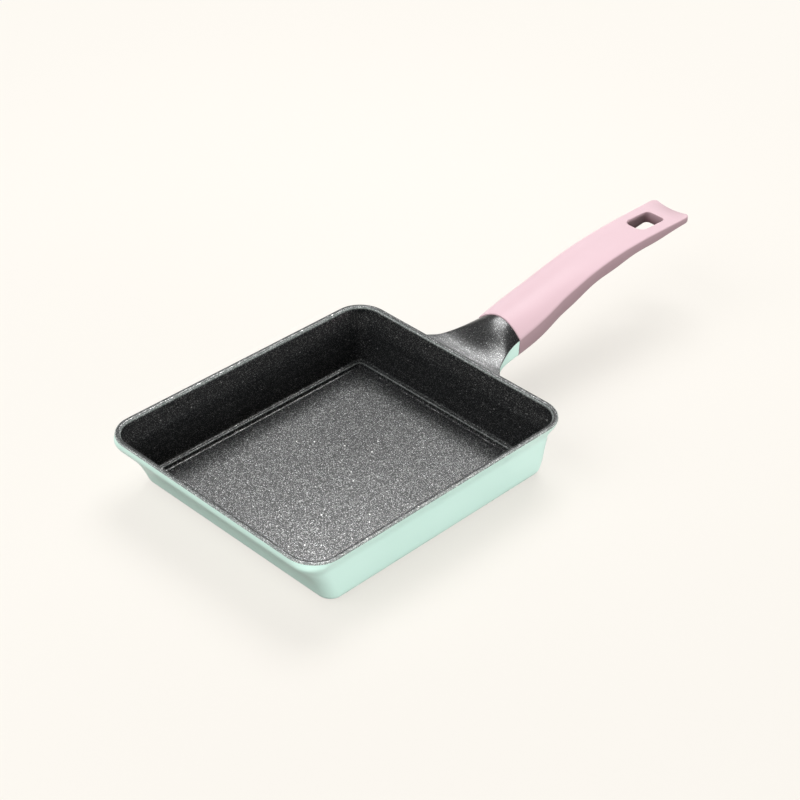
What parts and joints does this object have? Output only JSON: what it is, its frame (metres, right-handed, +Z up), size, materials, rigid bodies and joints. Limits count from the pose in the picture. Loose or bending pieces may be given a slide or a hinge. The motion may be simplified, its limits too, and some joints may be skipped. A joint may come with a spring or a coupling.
{
  "type": "rectangular frying pan",
  "caption": "Rectangular non-stick frying pan with a leaning front wall, a cast neck and an upswept moulded handle with a hanging hole.",
  "frame": {"origin": "centre of the pan's base on the table plane, below the middle of the rim's outline", "axes": "+X along the pan towards the handle's tip, +Y across the pan to the left as seen from the front wall, +Z up"},
  "size_m": [0.373, 0.157, 0.0624],
  "materials": {
    "mint_enamel": "satin mint enamel on cast aluminium",
    "stone_lining": "speckled stone-effect non-stick lining",
    "plate_steel": "brushed stainless steel",
    "pink_handle": "soft matt pink moulding",
    "screw_steel": "zinc-plated steel",
    "spring_steel": "spring steel",
    "washer_steel": "zinc-plated steel"
  },
  "bodies": {
    "root": {"pan_body": "mint_enamel", "nonstick_lining": "stone_lining", "base_plate": "plate_steel", "handle": "pink_handle", "handle_screw": "screw_steel", "spring_washer": "spring_steel", "flat_washer": "washer_steel"}
  },
  "joints": []
}
